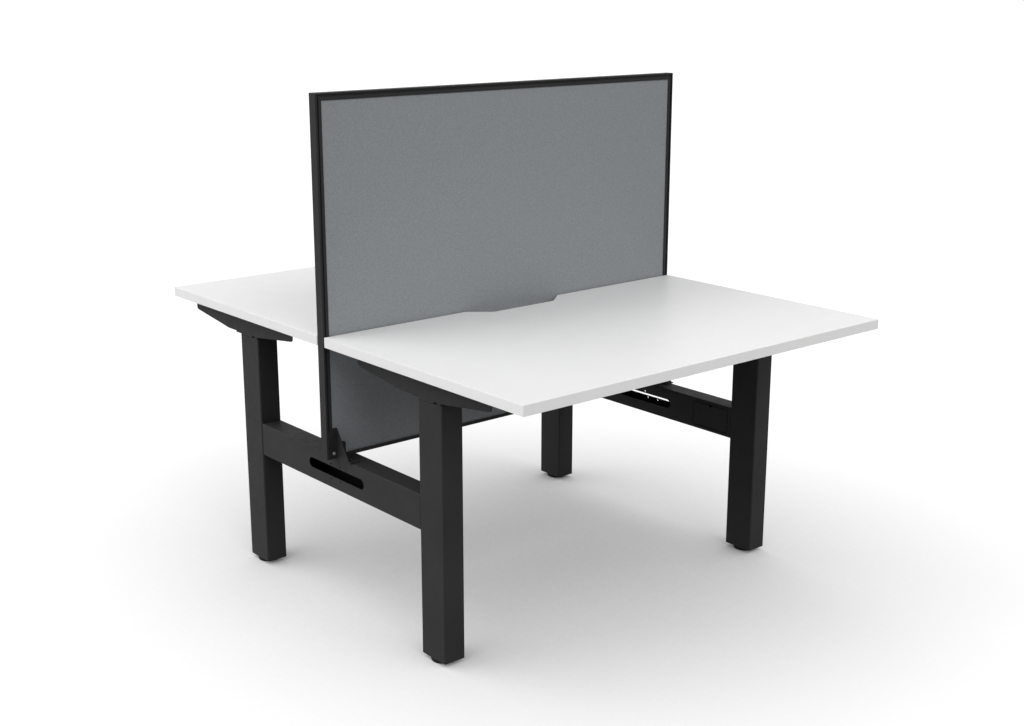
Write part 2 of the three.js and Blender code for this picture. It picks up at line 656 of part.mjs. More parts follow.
// Screen pieces: a member runs along X from its start with its face width going up
function edgeSection() {
  const slotHalf = screenFace - FRAME_SKIN;
  const slotFloor = FRAME_RIM + FRAME_GROOVE_WIDTH + FRAME_WEB;
  const grooveEnd = FRAME_RIM + FRAME_GROOVE_WIDTH;
  const grooveFloor = screenFace - FRAME_GROOVE_DEPTH;
  return outline([
    [0, -screenFace], [FRAME_RIM, -screenFace], [FRAME_RIM, -grooveFloor], [grooveEnd, -grooveFloor],
    [grooveEnd, -screenFace], [frameFace, -screenFace], [frameFace, -slotHalf], [slotFloor, -slotHalf],
    [slotFloor, slotHalf], [frameFace, slotHalf], [frameFace, screenFace], [grooveEnd, screenFace],
    [grooveEnd, grooveFloor], [FRAME_RIM, grooveFloor], [FRAME_RIM, screenFace], [0, screenFace],
  ]);
}

function footSection() {
  const slotHalf = screenFace - FRAME_SKIN;
  return outline([
    [0, -screenFace], [FRAME_FOOT_FACE, -screenFace], [FRAME_FOOT_FACE, -slotHalf], [footFloor, -slotHalf],
    [footFloor, slotHalf], [FRAME_FOOT_FACE, slotHalf], [FRAME_FOOT_FACE, screenFace], [0, screenFace],
  ]);
}

// Each end is mitred or square
function frameMember(section, length, startMitred, endMitred) {
  const geometry = alongZ(section, 0, length);
  const position = geometry.attributes.position;
  for (let index = 0; index < position.count; index += 1) {
    const width = position.getX(index);
    const depth = position.getY(index);
    const mitre = width + SEAT_GAP / 2;
    const atEnd = position.getZ(index) > length / 2;
    const start = startMitred ? mitre : 0;
    const end = endMitred ? length - mitre : length;
    position.setXYZ(index, atEnd ? end : start, -depth, width);
  }
  return geometry;
}

// The bottom rail stands on the beams, notched over the bracket strips
function bottomRail(length) {
  const stripOutside = columnX + BEAM_WIDTH / 2 + BRACKET_OVERHANG;
  const stripMiddle = stripOutside - BRACKET_STRIP_WIDTH / 2;
  const half = BRACKET_STRIP_WIDTH / 2 + SEAT_GAP;
  const side = screenFace + CUT_MARGIN;
  const notches = [-1, 1].map((end) => {
    const middle = length / 2 + end * stripMiddle;
    return block([middle - half, -side, -CUT_MARGIN], [middle + half, side, footNotch]);
  });
  return cut(frameMember(footSection(), length, false, false), ...notches);
}

function panel(near, far) {
  const halfWidth = TOP_WIDTH / 2 - panelInset;
  return block(
    [-halfWidth, near, screenBottom + footFloor + SEAT_GAP],
    [halfWidth, far, screenBottom + SCREEN_HEIGHT - panelInset]);
}

// Assembly
const bench = new THREE.Group();

function addEndFrame(end) {
  const turnedRound = end === 'right';
  const frame = new THREE.Group();
  frame.position.x = turnedRound ? columnX : -columnX;
  frame.rotation.z = turnedRound ? Math.PI : 0;
  bench.add(frame);
  addPiece(frame, `${end}_beam`, beam(), materials.powderCoat);
  addPiece(frame, `${end}_screen_bracket`, screenBracket(), materials.bracketCoat);
  for (const side of [-1, 1]) {
    const desk = (side < 0) === turnedRound ? 'rear' : 'front';
    const cover = addPiece(frame, `${end}_beam_${desk}_cover`, accessCover(), materials.coverPlastic);
    cover.position.set(0, side * coverMiddle, beamMiddle);
    const stand = new THREE.Group();
    stand.position.y = side * columnY;
    frame.add(stand);
    addPiece(stand, `${desk}_${end}_outer_column`, outerColumn(), materials.powderCoat);
    addPiece(stand, `${desk}_${end}_glide_bush`, glideBush(), materials.nylon);
    addPiece(stand, `${desk}_${end}_nut_tube`, nutTube(), materials.steel);
    addPiece(stand, `${desk}_${end}_foot`, levellingFoot(), materials.rubber);
  }
}

function addDesk(desk) {
  const turnedRound = desk === 'rear';
  const group = new THREE.Group();
  group.rotation.z = turnedRound ? Math.PI : 0;
  bench.add(group);
  addPiece(group, `${desk}_desktop`, desktop(), materials.laminate);
  for (const side of [-1, 1]) {
    const end = (side < 0) === turnedRound ? 'right' : 'left';
    const post = new THREE.Group();
    post.position.set(side * columnX, -columnY, 0);
    post.rotation.z = side < 0 ? 0 : Math.PI;
    group.add(post);
    addPiece(post, `${desk}_${end}_arm`, sideArm(), materials.powderCoat);
    addPiece(post, `${desk}_${end}_inner_column`, innerColumn(), materials.powderCoat);
    addPiece(post, `${desk}_${end}_gear_motor`, gearMotor(), materials.motorCoat);
    addPiece(post, `${desk}_${end}_spindle`, spindle(), materials.steel);
  }
  const outerRail = addPiece(group, `${desk}_desk_outer_rail`, crossRail(), materials.powderCoat);
  outerRail.position.y = -columnY - RAIL_SPACING / 2;
  const innerRail = addPiece(group, `${desk}_desk_inner_rail`, crossRail(), materials.powderCoat);
  innerRail.position.y = -columnY + RAIL_SPACING / 2;
  addPiece(group, `${desk}_control_box`, controlBox(), materials.casing).position.y = -columnY;
  const control = new THREE.Group();
  control.position.set(
    TOP_WIDTH / 2 - HANDSET_END_INSET,
    HANDSET_SETBACK + PADDLE_PIVOT_DEPTH - deskFront,
    deskUnderside - SEAT_GAP - handsetTop);
  group.add(control);
  addPiece(control, `${desk}_handset`, handset(), materials.casing);
  addPiece(control, `${desk}_handset_paddle`, handsetPaddle(), materials.paddle);
}

function addScreen() {
  const half = TOP_WIDTH / 2;
  const top = screenBottom + SCREEN_HEIGHT;
  const railInset = frameFace + SEAT_GAP;
  const rightPost = frameMember(edgeSection(), SCREEN_HEIGHT, false, true);
  const topRail = frameMember(edgeSection(), TOP_WIDTH, true, true);
  const leftPost = frameMember(edgeSection(), SCREEN_HEIGHT, true, false);
  const members = [
    ['screen_bottom_rail', bottomRail(TOP_WIDTH - 2 * railInset), railInset - half, screenBottom, 0],
    ['screen_right_post', rightPost, half, screenBottom, -Math.PI / 2],
    ['screen_top_rail', topRail, half, top, Math.PI],
    ['screen_left_post', leftPost, -half, top, Math.PI / 2],
  ];
  for (const [name, geometry, x, z, angle] of members) {
    const member = addPiece(bench, name, geometry, materials.frameCoat);
    member.position.set(x, 0, z);
    member.rotation.y = angle;
  }
  const coreFace = coreThickness / 2;
  addPiece(bench, 'screen_core', panel(-coreFace, coreFace), materials.board);
  const fabricBack = fabricFace - FABRIC_THICKNESS;
  addPiece(bench, 'screen_front_fabric', panel(-fabricFace, -fabricBack), materials.fabric);
  addPiece(bench, 'screen_rear_fabric', panel(fabricBack, fabricFace), materials.fabric);
}

addEndFrame('left');
addEndFrame('right');
addDesk('front');
addDesk('rear');
addScreen();

export default bench;
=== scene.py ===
import json
import math

import bmesh
import bpy
from mathutils import Matrix, Vector


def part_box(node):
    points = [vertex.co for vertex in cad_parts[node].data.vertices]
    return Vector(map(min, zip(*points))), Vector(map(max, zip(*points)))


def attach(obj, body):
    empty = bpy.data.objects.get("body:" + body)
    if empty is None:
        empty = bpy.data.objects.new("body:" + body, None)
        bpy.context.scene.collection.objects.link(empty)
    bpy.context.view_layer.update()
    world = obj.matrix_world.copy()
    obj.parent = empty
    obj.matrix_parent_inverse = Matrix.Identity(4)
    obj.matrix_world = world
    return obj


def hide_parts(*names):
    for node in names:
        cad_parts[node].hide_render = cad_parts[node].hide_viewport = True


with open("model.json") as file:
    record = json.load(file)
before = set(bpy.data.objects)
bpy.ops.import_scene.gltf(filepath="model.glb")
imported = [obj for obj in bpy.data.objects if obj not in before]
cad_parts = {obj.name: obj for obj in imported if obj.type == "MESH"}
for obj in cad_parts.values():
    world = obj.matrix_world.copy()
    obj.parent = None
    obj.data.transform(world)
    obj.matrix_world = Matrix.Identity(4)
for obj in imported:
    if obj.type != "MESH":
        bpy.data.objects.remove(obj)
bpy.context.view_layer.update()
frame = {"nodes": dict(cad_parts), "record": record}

MM = 0.001
RECORD = frame["record"]
BODY_OF = {node: body for body, nodes in RECORD["behaviour"]["bodies"].items() for node in nodes}
SLOT_OF = {part["node"]: part["material_slot"] for part in RECORD["subparts"]}
DESKS = ("front", "rear")
ENDS = ("left", "right")
CORNERS = [f"{desk}_{end}" for desk in DESKS for end in ENDS]

# Camera, at the photograph's angle
CAMERA_PLACE = (-2.4087, -2.8841, 1.5624)
CAMERA_YAW = math.radians(40)
CAMERA_PITCH = math.radians(15)
CAMERA_LENS = 50
CAMERA_SENSOR = 36

# Light: a faint dome and four wide soft suns, as (heading, height, strength).
# A heading of 0 comes from the front and 90 from the right.
WORLD_LIGHT = 0.12
SUN_ANGLE = math.radians(50)
SUNS = {
    "front_light": (0, 35, 1.73),
    "left_light": (270, 35, 1.13),
    "back_left_light": (225, 35, 1.60),
    "back_light": (180, 65, 0.52),
}
FLOOR_SIZE = 80
FLOOR_DROP = 0.0005
FLOOR_COLOUR = (0.27, 0.27, 0.27, 1)
FLOOR_GLOW = 0.84
FLOOR_SHADOW_REACH = 8
FLOOR_BOUNCE = (0.30, 0.30, 0.30, 1)


def link(name, mesh):
    piece = bpy.data.objects.new(name, mesh)
    bpy.context.scene.collection.objects.link(piece)
    return piece


# Cameras, lights and stage
def make_camera():
    data = bpy.data.cameras.new("camera")
    data.lens = CAMERA_LENS
    data.sensor_width = CAMERA_SENSOR
    data.sensor_fit = "HORIZONTAL"
    data.clip_end = 200
    camera = bpy.data.objects.new("camera", data)
    bpy.context.scene.collection.objects.link(camera)
    camera.location = CAMERA_PLACE
    camera.rotation_euler = (math.pi / 2 - CAMERA_PITCH, 0, -CAMERA_YAW)
    bpy.context.scene.camera = camera


def shown_white(nodes, links):
    """A factor that is 1 for rays that show the background: camera, glossy and transmission rays."""
    path = nodes.new("ShaderNodeLightPath")
    first = nodes.new("ShaderNodeMath")
    first.operation = "MAXIMUM"
    links.new(path.outputs["Is Camera Ray"], first.inputs[0])
    links.new(path.outputs["Is Glossy Ray"], first.inputs[1])
    second = nodes.new("ShaderNodeMath")
    second.operation = "MAXIMUM"
    links.new(first.outputs[0], second.inputs[0])
    links.new(path.outputs["Is Transmission Ray"], second.inputs[1])
    return second.outputs[0]


def make_world():
    world = bpy.data.worlds.new("studio")
    bpy.context.scene.world = world
    world.use_nodes = True
    nodes, links = world.node_tree.nodes, world.node_tree.links
    nodes.clear()
    light = nodes.new("ShaderNodeBackground")
    light.inputs["Color"].default_value = (1, 1, 1, 1)
    light.inputs["Strength"].default_value = WORLD_LIGHT
    white = nodes.new("ShaderNodeBackground")
    white.inputs["Color"].default_value = (1, 1, 1, 1)
    white.inputs["Strength"].default_value = 1
    mix = nodes.new("ShaderNodeMixShader")
    out = nodes.new("ShaderNodeOutputWorld")
    links.new(shown_white(nodes, links), mix.inputs[0])
    links.new(light.outputs[0], mix.inputs[1])
    links.new(white.outputs[0], mix.inputs[2])
    links.new(mix.outputs[0], out.inputs["Surface"])


def make_floor():
    """A pale floor that glows for camera and glossy rays. Its soft shadow is painted: the glow is scaled
    by how much of the sky each point sees. The suns add real shadow on its matt part.
    """
    mesh = bpy.data.meshes.new("floor")
    half = FLOOR_SIZE / 2
    corners = [(-half, -half), (half, -half), (half, half), (-half, half)]
    mesh.from_pydata([(x, y, -FLOOR_DROP) for x, y in corners], [], [(0, 1, 2, 3)])
    floor = link("floor", mesh)
    material = bpy.data.materials.new("floor")
    material.use_nodes = True
    nodes, links = material.node_tree.nodes, material.node_tree.links
    nodes.clear()
    matt = nodes.new("ShaderNodeBsdfDiffuse")
    matt.inputs["Color"].default_value = FLOOR_COLOUR
    # Painted shadow: ambient occlusion dims the floor's glow under and round the object
    painted_floor_shadow = nodes.new("ShaderNodeAmbientOcclusion")
    painted_floor_shadow.samples = 16
    painted_floor_shadow.inputs["Distance"].default_value = FLOOR_SHADOW_REACH
    glow = nodes.new("ShaderNodeEmission")
    glow.inputs["Strength"].default_value = FLOOR_GLOW
    links.new(painted_floor_shadow.outputs["Color"], glow.inputs["Color"])
    both = nodes.new("ShaderNodeAddShader")
    links.new(matt.outputs[0], both.inputs[0])
    links.new(glow.outputs[0], both.inputs[1])
    bounce = nodes.new("ShaderNodeBsdfDiffuse")
    bounce.inputs["Color"].default_value = FLOOR_BOUNCE
    mix = nodes.new("ShaderNodeMixShader")
    out = nodes.new("ShaderNodeOutputMaterial")
    links.new(shown_white(nodes, links), mix.inputs[0])
    links.new(bounce.outputs[0], mix.inputs[1])
    links.new(both.outputs[0], mix.inputs[2])
    links.new(mix.outputs[0], out.inputs["Surface"])
    mesh.materials.append(material)


def make_sun(name, heading, height, strength):
    data = bpy.data.lights.new(name, "SUN")
    data.angle = SUN_ANGLE
    data.energy = strength
    lamp = bpy.data.objects.new(name, data)
    bpy.context.scene.collection.objects.link(lamp)
    turn, rise = math.radians(heading), math.radians(height)
    source = Vector((
        math.sin(turn) * math.cos(rise), -math.cos(turn) * math.cos(rise), math.sin(rise)))
    lamp.rotation_euler = (-source).to_track_quat("-Z", "Y").to_euler()


make_camera()
make_world()
make_floor()
for name, (heading, height, strength) in SUNS.items():
    make_sun(name, heading, height, strength)
bpy.context.scene.view_settings.view_transform = "Standard"


# Materials
class Shader:
    """A node material built round one Principled shader, with object coordinates in metres."""

    def __init__(self, name, roughness, metallic=0.0, specular=0.5):
        self.material = bpy.data.materials.new(name)
        self.material.use_nodes = True
        tree = self.material.node_tree
        self.nodes, self.links = tree.nodes, tree.links
        self.nodes.clear()
        self.out = self.nodes.new("ShaderNodeOutputMaterial")
        self.bsdf = self.nodes.new("ShaderNodeBsdfPrincipled")
        self.links.new(self.bsdf.outputs[0], self.out.inputs["Surface"])
        self.bsdf.inputs["Roughness"].default_value = roughness
        self.bsdf.inputs["Metallic"].default_value = metallic
        self.bsdf.inputs["Specular IOR Level"].default_value = specular
        self.coords = self.nodes.new("ShaderNodeTexCoord").outputs["Object"]

    def mapped(self, scale):
        node = self.nodes.new("ShaderNodeMapping")
        node.inputs["Scale"].default_value = scale
        self.links.new(self.coords, node.inputs["Vector"])
        return node.outputs[0]

    def noise(self, scale, detail=2.0, vector=None, rough=0.5):
        node = self.nodes.new("ShaderNodeTexNoise")
        node.inputs["Scale"].default_value = scale
        node.inputs["Detail"].default_value = detail
        node.inputs["Roughness"].default_value = rough
        self.links.new(vector or self.coords, node.inputs["Vector"])
        return node.outputs["Fac"]

    def math(self, operation, first, second=None):
        node = self.nodes.new("ShaderNodeMath")
        node.operation = operation
        for socket, value in zip(node.inputs, (first, second)):
            if value is None:
                continue
            if isinstance(value, (int, float)):
                socket.default_value = value
            else:
                self.links.new(value, socket)
        return node.outputs[0]

    def spread(self, value, low, high, start=0.3, end=0.7):
        node = self.nodes.new("ShaderNodeMapRange")
        node.inputs["From Min"].default_value = start
        node.inputs["From Max"].default_value = end
        node.inputs["To Min"].default_value = low
        node.inputs["To Max"].default_value = high
        self.links.new(value, node.inputs["Value"])
        return node.outputs[0]

    def ramp(self, value, stops):
        node = self.nodes.new("ShaderNodeValToRGB")
        elements = node.color_ramp.elements
        while len(elements) < len(stops):
            elements.new(0.5)
        for element, (place, colour) in zip(elements, stops):
            element.position = place
            element.color = (*colour, 1)
        self.links.new(value, node.inputs["Fac"])
        return node.outputs["Color"]

    def shade(self, value, colour, change, start=0.3, end=0.7):
        """Colour that goes from darker to lighter than its middle by a share of itself."""
        dark = tuple(part * (1 - change) for part in colour)
        light = tuple(part * (1 + change) for part in colour)
        tone = self.ramp(value, [(start, dark), (end, light)])
        self.links.new(tone, self.bsdf.inputs["Base Color"])

    def rough(self, value, middle, below, above):
        """Roughness that varies a little round its middle."""
        self.links.new(self.spread(value, middle - below, middle + above), self.bsdf.inputs["Roughness"])

    def bump(self, value, strength, distance):
        node = self.nodes.new("ShaderNodeBump")
        node.inputs["Strength"].default_value = strength
        node.inputs["Distance"].default_value = distance
        self.links.new(value, node.inputs["Height"])
        self.links.new(node.outputs[0], self.bsdf.inputs["Normal"])


def coated(name, colour, roughness, specular, peel=0.3):
    """Powder coat: a fine orange peel, with faint clouds in colour and gloss."""
    shader = Shader(name, roughness, specular=specular)
    shader.shade(shader.noise(scale=7, detail=3), colour, change=0.07)
    shader.rough(shader.noise(scale=45, detail=3), roughness, 0.05, 0.05)
    shader.bump(shader.noise(scale=750, detail=2), strength=peel, distance=0.25 * MM)
    return shader.material


def moulded(name, colour, roughness, specular, grain=420):
    """Moulded plastic with a spark-eroded grain."""
    shader = Shader(name, roughness, specular=specular)
    shader.shade(shader.noise(scale=grain, detail=3), colour, change=0.08)
    shader.rough(shader.noise(scale=30, detail=2), roughness, 0.06, 0.06)
    shader.bump(shader.noise(scale=grain, detail=4), strength=0.35, distance=0.3 * MM)
    return shader.material


def laminated(name, colour, roughness):
    """Melamine: a fine pearl texture and the slightest clouding."""
    shader = Shader(name, roughness, specular=0.4)
    shader.shade(shader.noise(scale=16, detail=4), colour, change=0.008)
    shader.rough(shader.noise(scale=60, detail=3), roughness, 0.04, 0.05)
    shader.bump(shader.noise(scale=900, detail=3), strength=0.12, distance=0.2 * MM)
    return shader.material


def metal(name, colour, roughness, brushed):
    """Bare metal, brushed along the stretched axes."""
    shader = Shader(name, roughness, metallic=1.0)
    streaks = shader.noise(scale=1, detail=4, vector=shader.mapped(brushed))
    shader.shade(streaks, colour, change=0.10)
    shader.rough(streaks, roughness, 0.08, 0.10)
    shader.bump(streaks, strength=0.10, distance=0.2 * MM)
    return shader.material


def woven(name, colour, pitch):
    """Plain weave in a melange yarn: crossing yarns over and under, with fibres of several greys."""
    shader = Shader(name, 0.92, specular=0.15)
    parts = shader.nodes.new("ShaderNodeSeparateXYZ")
    shader.links.new(shader.coords, parts.inputs[0])
    turns = 2 * math.pi / pitch
    warp = shader.math("SINE", shader.math("MULTIPLY", parts.outputs["X"], turns))
    weft = shader.math("SINE", shader.math("MULTIPLY", parts.outputs["Z"], turns))
    crossing = shader.spread(shader.math("MULTIPLY", warp, weft), 0, 1, -1, 1)
    along = shader.noise(scale=1, detail=3, vector=shader.mapped((160, 160, 900)))
    across = shader.noise(scale=1, detail=3, vector=shader.mapped((900, 160, 160)))
    fibre = shader.math("MULTIPLY", shader.math("ADD", along, across), 0.5)
    mottle = shader.noise(scale=260, detail=4, rough=0.75)
    tone = shader.math("MULTIPLY", shader.math("ADD", fibre, mottle), 0.5)
    yarn_share = shader.math("MULTIPLY", tone, 0.8)
    weave_share = shader.math("MULTIPLY", crossing, 0.2)
    level = shader.math("ADD", yarn_share, weave_share)
    shader.shade(level, colour, change=0.34, start=0.28, end=0.72)
    shader.bump(shader.math("ADD", crossing, fibre), strength=0.35, distance=0.4 * MM)
    shader.bsdf.inputs["Sheen Weight"].default_value = 0.08
    shader.bsdf.inputs["Sheen Roughness"].default_value = 0.6
    return shader.material


def chipboard(name):
    """Raw board: pressed chips from dark to pale."""
    dark, pale = (0.30, 0.21, 0.12), (0.55, 0.42, 0.27)
    shader = Shader(name, 0.9, specular=0.2)
    chips = shader.noise(scale=220, detail=4)
    colour = shader.ramp(chips, [(0.32, dark), (0.68, pale)])
    shader.links.new(colour, shader.bsdf.inputs["Base Color"])
    shader.bump(chips, strength=0.3, distance=0.6 * MM)
    return shader.material


COAT = (0.0285, 0.0285, 0.0290)
finishes = {
    "laminate": laminated("white_laminate", (0.83, 0.83, 0.827), 0.42),
    "powder_coat": coated("black_powder_coat", COAT, 0.52, 0.07),
    "inner_coat": coated("inner_column_coat", (0.018, 0.018, 0.0184), 0.46, 0.2),
    "bracket_coat": coated("bracket_powder_coat", (0.023, 0.023, 0.0235), 0.5, 0.07),
    "screen_frame": coated("screen_frame_coat", (0.0265, 0.0265, 0.0270), 0.48, 0.07, 0.2),
    "fabric": woven("grey_woven_fabric", (0.251, 0.265, 0.279), 1.3 * MM),
    "board": chipboard("screen_board"),
    "cover_plastic": moulded("cover_plastic", COAT, 0.52, 0.07),
    "foot_plastic": moulded("foot_plastic", (0.005, 0.005, 0.005), 0.5, 0.15),
    "nylon": moulded("glide_nylon", (0.008, 0.008, 0.0082), 0.5, 0.2),
    "steel": metal("bright_steel", (0.55, 0.56, 0.57), 0.32, (900, 900, 12)),
    "motor_coat": coated("motor_casing", (0.045, 0.046, 0.048), 0.45, 0.3),
    "casing": moulded("black_casing", (0.018, 0.018, 0.0185), 0.55, 0.25),
    "paddle": moulded("paddle_plastic", (0.05, 0.05, 0.052), 0.5, 0.3),
}
edge_band = laminated("white_edge_band", (0.845, 0.845, 0.842), 0.36)
screw_steel = metal("zinc_screw", (0.36, 0.36, 0.35), 0.38, (300, 300, 300))
screw_black = coated("black_screw", (0.012, 0.012, 0.012), 0.4, 0.3)
# Inside of a tube: uncoated steel made near-black, darker than it would be, as painted shade
bore_painted_shade = coated("bore_painted_shade", (0.004, 0.004, 0.0042), 0.7, 0.05)


# Pieces
SMOOTH_ANGLE = math.radians(35)
SHARP_CORNER = math.radians(44)
FLAT_ANGLE = math.radians(0.6)
FLAT_FACE = 0.999
WELD = 1e-6

# How far the edges of each kind of piece are rounded
CORNER_EDGES = {
    "outer_column": 0.5 * MM,
    "inner_column": 0.4 * MM,
    "arm": 0.9 * MM,
    "gear_motor": 1.0 * MM,
    "glide_bush": 0.3 * MM,
}
DESK_EDGES = {
    "desk_outer_rail": 0.5 * MM,
    "desk_inner_rail": 0.5 * MM,
    "control_box": 1.2 * MM,
    "handset": 1.2 * MM,
    "handset_paddle": 0.5 * MM,
}
BEAM_EDGE = 0.5 * MM
BRACKET_EDGE = 0.3 * MM
COVER_EDGE = 0.3 * MM
SCREEN_FRAME_EDGE = 0.25 * MM
DESKTOP_EDGE = 0.8 * MM
BEAM_WALL = 2.5 * MM


def smooth(piece):
    mesh = piece.data
    mesh.polygons.foreach_set("use_smooth", [True] * len(mesh.polygons))
    mesh.set_sharp_from_angle(angle=SMOOTH_ANGLE)
    weighted = piece.modifiers.new("normals", "WEIGHTED_NORMAL")
    weighted.keep_sharp = True


def settle(piece, body, slot, *materials):
    for material in materials or (finishes[slot],):
        piece.data.materials.append(material)
    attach(piece, body)


def soften(bm, width, segments):
    """Rounds the sharp outward edges of a mesh."""
    bm.normal_update()
    edges = [
        edge for edge in bm.edges
        if edge.is_manifold and edge.is_convex and edge.calc_face_angle(0) > SHARP_CORNER
    ]
    bmesh.ops.bevel(
        bm, geom=edges, offset=width, offset_type="OFFSET", segments=segments, profile=0.5,
        affect="EDGES", clamp_overlap=False)


def dress(node, width, segments=2):
    """A copy of a solid with rounded edges, in its slot's finish, that stands for the solid."""
    mesh = frame["nodes"][node].data.copy()
    mesh.materials.clear()
    bm = bmesh.new()
    bm.from_mesh(mesh)
    bmesh.ops.remove_doubles(bm, verts=bm.verts, dist=WELD)
    bmesh.ops.dissolve_limit(
        bm, angle_limit=FLAT_ANGLE, use_dissolve_boundaries=False, verts=bm.verts, edges=bm.edges)
    soften(bm, width, segments)
    for face in bm.faces:
        face.material_index = 0
    bm.to_mesh(mesh)
    bm.free()
    piece = link(f"{node}_finished", mesh)
    smooth(piece)
    settle(piece, BODY_OF[node], SLOT_OF[node])
    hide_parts(node)
    return piece


def paint_bore_shade(piece, node, wall):
    """Gives the inside walls of a tube a near-black finish: uncoated steel, darkened further as painted
    shade.
    """
    low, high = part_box(node)
    piece.data.materials.append(bore_painted_shade)
    for face in piece.data.polygons:
        x, z = face.center.x, face.center.z
        if min(x - low.x, high.x - x, z - low.z, high.z - z) > 0.95 * wall:
            face.material_index = 1


for corner in CORNERS:
    for kind, width in CORNER_EDGES.items():
        dress(f"{corner}_{kind}", width)
for end in ENDS:
    paint_bore_shade(dress(f"{end}_beam", BEAM_EDGE), f"{end}_beam", BEAM_WALL)
    dress(f"{end}_screen_bracket", BRACKET_EDGE)
    for desk in DESKS:
        dress(f"{end}_beam_{desk}_cover", COVER_EDGE)
for member in ("bottom_rail", "right_post", "top_rail", "left_post"):
    dress(f"screen_{member}", SCREEN_FRAME_EDGE)
for desk in DESKS:
    for kind, width in DESK_EDGES.items():
        dress(f"{desk}_{kind}", width)

# Hidden solids keep their shape and take their finish
HIDDEN = [f"{corner}_{kind}" for corner in CORNERS for kind in ("nut_tube", "spindle")]
for node in HIDDEN + ["screen_core"]:
    data = frame["nodes"][node].data
    data.materials.clear()
    data.materials.append(finishes[SLOT_OF[node]])


def arc(centre, radius, start, end, steps):
    return [
        (centre[0] + radius * math.cos(start + (end - start) * step / steps),
         centre[1] + radius * math.sin(start + (end - start) * step / steps))
        for step in range(steps + 1)
    ]


def rounded(corners, steps=10):
    """An outline's points: each corner is (x, y, radius)."""
    points = []
    for index, (x, y, radius) in enumerate(corners):
        corner = Vector((x, y))
        back = (Vector(corners[index - 1][:2]) - corner).normalized()
        ahead = (Vector(corners[(index + 1) % len(corners)][:2]) - corner).normalized()
        half = back.angle(ahead) / 2
        middle = (back + ahead).normalized()
        centre = corner + middle * (radius / math.sin(half))
        first = corner + back * (radius / math.tan(half)) - centre
        last = corner + ahead * (radius / math.tan(half)) - centre
        start = math.atan2(first.y, first.x)
        turn = math.atan2(first.x * last.y - first.y * last.x, first.dot(last))
        points += arc(centre, radius, start, start + turn, steps)
    return points


def desktop(desk):
    """A top with pressed laminate faces, edge band all round and eased edges."""
    low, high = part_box(f"{desk}_desktop")
    side = -1 if desk == "front" else 1
    front = low.y if side < 0 else -high.y
    back = high.y if side < 0 else -low.y
    mouth, floor, depth = 0.163, 0.104, 0.048
    mouth_radius, floor_radius, corner_radius = 0.012, 0.024, 0.003
    outline = rounded([
        (low.x, front, corner_radius), (high.x, front, corner_radius), (high.x, back, corner_radius),
        (mouth, back, mouth_radius), (floor, back - depth, floor_radius),
        (-floor, back - depth, floor_radius), (-mouth, back, mouth_radius), (low.x, back, corner_radius)])
    bm = bmesh.new()
    ring = [bm.verts.new((x * -side, y * -side, low.z)) for x, y in outline]
    base = bm.faces.new(ring)
    raised = bmesh.ops.extrude_face_region(bm, geom=[base])
    tops = [item for item in raised["geom"] if isinstance(item, bmesh.types.BMVert)]
    bmesh.ops.translate(bm, verts=tops, vec=(0, 0, high.z - low.z))
    bmesh.ops.recalc_face_normals(bm, faces=bm.faces)
    soften(bm, DESKTOP_EDGE, 3)
    bm.normal_update()
    for face in bm.faces:
        face.material_index = 0 if abs(face.normal.z) > FLAT_FACE else 1
    mesh = bpy.data.meshes.new(f"{desk}_desktop_finished")
    bm.to_mesh(mesh)
    bm.free()
    piece = link(f"{desk}_desktop_finished", mesh)
    smooth(piece)
    settle(piece, f"{desk}_desk", "laminate", finishes["laminate"], edge_band)
    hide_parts(f"{desk}_desktop")


for desk in DESKS:
    desktop(desk)


def lathe(bm, profile, place, axis, steps=48):
    """Adds a turned shape: profile is (radius, height) points from one end of the axis to the other."""
    turn = Vector((0, 0, 1)).rotation_difference(Vector(axis)).to_matrix().to_4x4()
    to_place = Matrix.Translation(place) @ turn
    rings = []
    for radius, height in profile:
        if radius == 0:
            rings.append([bm.verts.new(to_place @ Vector((0, 0, height)))])
            continue
        rings.append([
            bm.verts.new(to_place @ Vector((
                radius * math.cos(2 * math.pi * step / steps),
                radius * math.sin(2 * math.pi * step / steps), height)))
            for step in range(steps)
        ])
    for lower, upper in zip(rings, rings[1:]):
        for step in range(steps):
            ahead = (step + 1) % steps
            corners = [lower[step % len(lower)], lower[ahead % len(lower)],
                       upper[ahead % len(upper)], upper[step % len(upper)]]
            bm.faces.new(list(dict.fromkeys(corners)))


def piece_from(bm, name):
    bmesh.ops.recalc_face_normals(bm, faces=bm.faces)
    mesh = bpy.data.meshes.new(name)
    bm.to_mesh(mesh)
    bm.free()
    piece = link(name, mesh)
    smooth(piece)
    return piece


def foot(corner):
    """A levelling glide: a round pad with an eased edge and a shallow groove, on its stud."""
    low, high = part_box(f"{corner}_foot")
    middle = (low + high) / 2
    profile = [
        (0, 0), (26.0, 0), (28.3, 0.4), (29.6, 1.4), (30.0, 2.8), (30.0, 5.4), (29.2, 5.8),
        (29.2, 6.3), (30.0, 6.7), (30.0, 8.4), (29.5, 9.3), (28.4, 9.7), (9, 9.7), (5, 9.7),
        (5, 34.2), (4.2, 35), (0, 35)]
    bm = bmesh.new()
    profile = [(radius * MM, height * MM) for radius, height in profile]
    lathe(bm, profile, (middle.x, middle.y, 0), (0, 0, 1), 64)
    piece = piece_from(bm, f"{corner}_foot_finished")
    settle(piece, f"{corner}_foot", "foot_plastic")
    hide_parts(f"{corner}_foot")


for corner in CORNERS:
    foot(corner)


